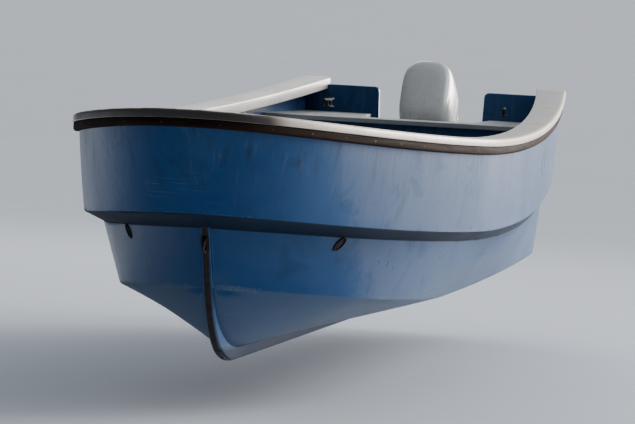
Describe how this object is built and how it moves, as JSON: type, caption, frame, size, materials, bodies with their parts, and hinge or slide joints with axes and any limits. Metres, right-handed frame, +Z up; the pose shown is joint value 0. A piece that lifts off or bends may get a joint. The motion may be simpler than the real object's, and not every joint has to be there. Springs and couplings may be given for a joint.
{
  "type": "open work skiff with outboard motor",
  "caption": "Open fibreglass work skiff with a full bow, knuckle and step, V bottom with keel, thwarts, decks fore and aft, and an outboard motor tilted up.",
  "frame": {"origin": "amidships on the centreline, at the waterline", "axes": "+X to the bow, +Y to port, +Z up"},
  "size_m": [7.4746, 1.9328, 1.2557],
  "materials": {
    "hull_gelcoat": "deep blue gelcoat, glossy, weathered",
    "liner_gelcoat": "pale grey gelcoat, satin",
    "deck_nonslip": "pale grey gelcoat with moulded non-slip",
    "cap_gelcoat": "cream gelcoat, chalky",
    "strake_timber": "dark weathered timber",
    "galvanised": "dull galvanised steel",
    "cleat_nylon": "black moulded nylon",
    "pad_rubber": "black moulded rubber",
    "motor_paint": "dark grey painted castings",
    "cowl_plastic": "pale grey moulded cover",
    "propeller_metal": "painted aluminium, worn at the tips",
    "tiller_rubber": "black moulded grip"
  },
  "bodies": {
    "hull": {"hull_shell": "hull_gelcoat", "transom": "hull_gelcoat", "foredeck": "deck_nonslip", "foredeck_bulkhead": "hull_gelcoat", "aft_deck": "deck_nonslip", "aft_bulkhead": "hull_gelcoat", "splash_well": "liner_gelcoat", "sole": "deck_nonslip", "thwart_fore": "liner_gelcoat", "thwart_post_fore": "liner_gelcoat", "thwart_mid": "liner_gelcoat", "thwart_post_mid": "liner_gelcoat", "side_frames_port": "liner_gelcoat", "side_frames_starboard": "liner_gelcoat", "gunwale_cap_port": "cap_gelcoat", "gunwale_cap_starboard": "cap_gelcoat", "rub_strake_port": "strake_timber", "rub_strake_starboard": "strake_timber", "keel": "hull_gelcoat", "stem_band": "galvanised", "bow_eye": "galvanised", "scupper_port": "galvanised", "scupper_starboard": "galvanised", "bow_hatch_hinge": "galvanised", "bow_cleat": "cleat_nylon", "quarter_cleat_port": "cleat_nylon", "quarter_cleat_starboard": "cleat_nylon", "motor_pad": "pad_rubber", "clamp_bracket": "motor_paint"},
    "hatch": {"bow_hatch_lid": "liner_gelcoat"},
    "swivel": {"swivel_bracket": "motor_paint"},
    "motor": {"midsection": "motor_paint", "lower_cowl": "motor_paint", "motor_cowl": "cowl_plastic", "gearcase": "motor_paint", "tiller": "tiller_rubber"},
    "propeller": {"propeller": "propeller_metal"}
  },
  "joints": [
    {"name": "hatch_open", "type": "hinge", "parent": "hull", "child": "hatch", "pos_m": [2.668, 0, 0.612], "axis": [0, 1, 0], "range_deg": [0, 100]},
    {"name": "motor_tilt", "type": "hinge", "parent": "hull", "child": "swivel", "pos_m": [-3.15, 0, 0.495], "axis": [0, -1, 0], "range_deg": [0, 58]},
    {"name": "motor_steer", "type": "hinge", "parent": "swivel", "child": "motor", "pos_m": [-3.21889, 0, 0.60525], "axis": [0.848, 0, 0.5299], "range_deg": [-30, 30]},
    {"name": "propeller_spin", "type": "hinge", "parent": "motor", "child": "propeller", "pos_m": [-4.10984, 0, 0.36101], "axis": [0.5299, 0, -0.848], "continuous": true}
  ]
}
